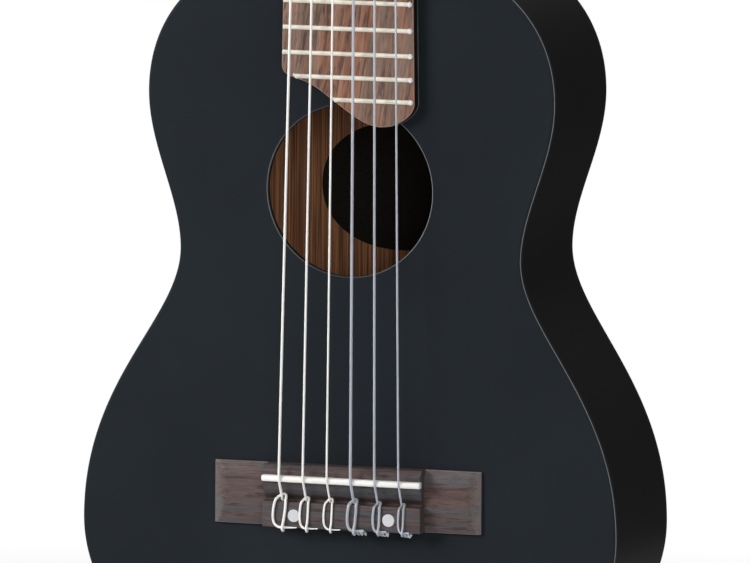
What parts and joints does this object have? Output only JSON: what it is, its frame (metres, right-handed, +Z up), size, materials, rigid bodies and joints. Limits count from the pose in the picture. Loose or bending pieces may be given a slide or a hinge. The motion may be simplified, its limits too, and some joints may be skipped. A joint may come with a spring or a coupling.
{
  "type": "guitalele",
  "caption": "Small nylon string guitar with a figure of eight body, round sound hole, S cut fingerboard end, tie bridge and worm geared tuners that turn.",
  "frame": {"origin": "on the centre line where the nut's front edge meets the neck's glue face, which is in line with the soundboard's front face", "axes": "+Z up along the neck to the headstock, -Y out of the soundboard towards the player's strumming hand, +X to the first (highest) string's side"},
  "size_m": [0.229, 0.0828, 0.698],
  "materials": {
    "black_satin": "satin black lacquer over laminated wood",
    "rosewood": "open pored dark brown wood, satin",
    "block_wood": "bare red brown wood",
    "brace_wood": "bare pale wood",
    "fret_wire": "polished nickel silver wire",
    "nut_white": "off white moulded resin",
    "bolt_steel": "plated steel",
    "pearl": "pale pearl",
    "nylon": "clear nylon",
    "wound_string": "silver plated winding over nylon",
    "tuner_chrome": "chrome plate"
  },
  "bodies": {
    "instrument": {"soundboard": "black_satin", "back_plate": "black_satin", "rib_treble": "black_satin", "rib_bass": "black_satin", "neck_block": "block_wood", "tail_block": "block_wood", "upper_brace": "brace_wood", "lower_brace": "brace_wood", "bridge_plate": "brace_wood", "neck": "black_satin", "fingerboard": "rosewood", "fret_01": "fret_wire", "fret_02": "fret_wire", "fret_03": "fret_wire", "fret_04": "fret_wire", "fret_05": "fret_wire", "fret_06": "fret_wire", "fret_07": "fret_wire", "fret_08": "fret_wire", "fret_09": "fret_wire", "fret_10": "fret_wire", "fret_11": "fret_wire", "fret_12": "fret_wire", "fret_13": "fret_wire", "fret_14": "fret_wire", "fret_15": "fret_wire", "fret_16": "fret_wire", "fret_17": "fret_wire", "fret_18": "fret_wire", "nut": "nut_white", "bridge": "rosewood", "saddle": "nut_white", "bridge_bolt_bass": "bolt_steel", "bridge_bolt_treble": "bolt_steel", "bridge_dot_bass": "pearl", "bridge_dot_treble": "pearl", "string_1": "nylon", "string_2": "nylon", "string_3": "nylon", "string_4": "wound_string", "string_5": "wound_string", "string_6": "wound_string", "tuner_1_housing": "tuner_chrome", "tuner_2_housing": "tuner_chrome", "tuner_3_housing": "tuner_chrome", "tuner_4_housing": "tuner_chrome", "tuner_5_housing": "tuner_chrome", "tuner_6_housing": "tuner_chrome"},
    "post_1": {"tuner_1_post": "tuner_chrome"},
    "button_1": {"tuner_1_button": "tuner_chrome"},
    "post_2": {"tuner_2_post": "tuner_chrome"},
    "button_2": {"tuner_2_button": "tuner_chrome"},
    "post_3": {"tuner_3_post": "tuner_chrome"},
    "button_3": {"tuner_3_button": "tuner_chrome"},
    "post_4": {"tuner_4_post": "tuner_chrome"},
    "button_4": {"tuner_4_button": "tuner_chrome"},
    "post_5": {"tuner_5_post": "tuner_chrome"},
    "button_5": {"tuner_5_button": "tuner_chrome"},
    "post_6": {"tuner_6_post": "tuner_chrome"},
    "button_6": {"tuner_6_button": "tuner_chrome"}
  },
  "joints": [
    {"name": "button_1_spin", "type": "hinge", "parent": "instrument", "child": "button_1", "pos_m": [0.022, 0.02729, 0.03262], "axis": [1, 0, 0], "continuous": true},
    {"name": "post_1_spin", "type": "hinge", "parent": "instrument", "child": "post_1", "pos_m": [0.022, 0.01016, 0.04575], "axis": [0, -0.9703, 0.2419], "continuous": true},
    {"name": "button_2_spin", "type": "hinge", "parent": "instrument", "child": "button_2", "pos_m": [0.022, 0.03649, 0.06949], "axis": [1, 0, 0], "continuous": true},
    {"name": "post_2_spin", "type": "hinge", "parent": "instrument", "child": "post_2", "pos_m": [0.022, 0.01935, 0.08262], "axis": [0, -0.9703, 0.2419], "continuous": true},
    {"name": "button_3_spin", "type": "hinge", "parent": "instrument", "child": "button_3", "pos_m": [0.022, 0.04568, 0.10636], "axis": [1, 0, 0], "continuous": true},
    {"name": "post_3_spin", "type": "hinge", "parent": "instrument", "child": "post_3", "pos_m": [0.022, 0.02855, 0.11949], "axis": [0, -0.9703, 0.2419], "continuous": true},
    {"name": "button_4_spin", "type": "hinge", "parent": "instrument", "child": "button_4", "pos_m": [-0.022, 0.04568, 0.10636], "axis": [-1, 0, 0], "continuous": true},
    {"name": "post_4_spin", "type": "hinge", "parent": "instrument", "child": "post_4", "pos_m": [-0.022, 0.02855, 0.11949], "axis": [0, -0.9703, 0.2419], "continuous": true},
    {"name": "button_5_spin", "type": "hinge", "parent": "instrument", "child": "button_5", "pos_m": [-0.022, 0.03649, 0.06949], "axis": [-1, 0, 0], "continuous": true},
    {"name": "post_5_spin", "type": "hinge", "parent": "instrument", "child": "post_5", "pos_m": [-0.022, 0.01935, 0.08262], "axis": [0, -0.9703, 0.2419], "continuous": true},
    {"name": "button_6_spin", "type": "hinge", "parent": "instrument", "child": "button_6", "pos_m": [-0.022, 0.02729, 0.03262], "axis": [-1, 0, 0], "continuous": true},
    {"name": "post_6_spin", "type": "hinge", "parent": "instrument", "child": "post_6", "pos_m": [-0.022, 0.01016, 0.04575], "axis": [0, -0.9703, 0.2419], "continuous": true}
  ],
  "couplings": [
    {"joint": "post_1_spin", "follows": "button_1_spin", "ratio": -0.071429},
    {"joint": "post_2_spin", "follows": "button_2_spin", "ratio": -0.071429},
    {"joint": "post_3_spin", "follows": "button_3_spin", "ratio": -0.071429},
    {"joint": "post_4_spin", "follows": "button_4_spin", "ratio": 0.071429},
    {"joint": "post_5_spin", "follows": "button_5_spin", "ratio": 0.071429},
    {"joint": "post_6_spin", "follows": "button_6_spin", "ratio": 0.071429}
  ]
}
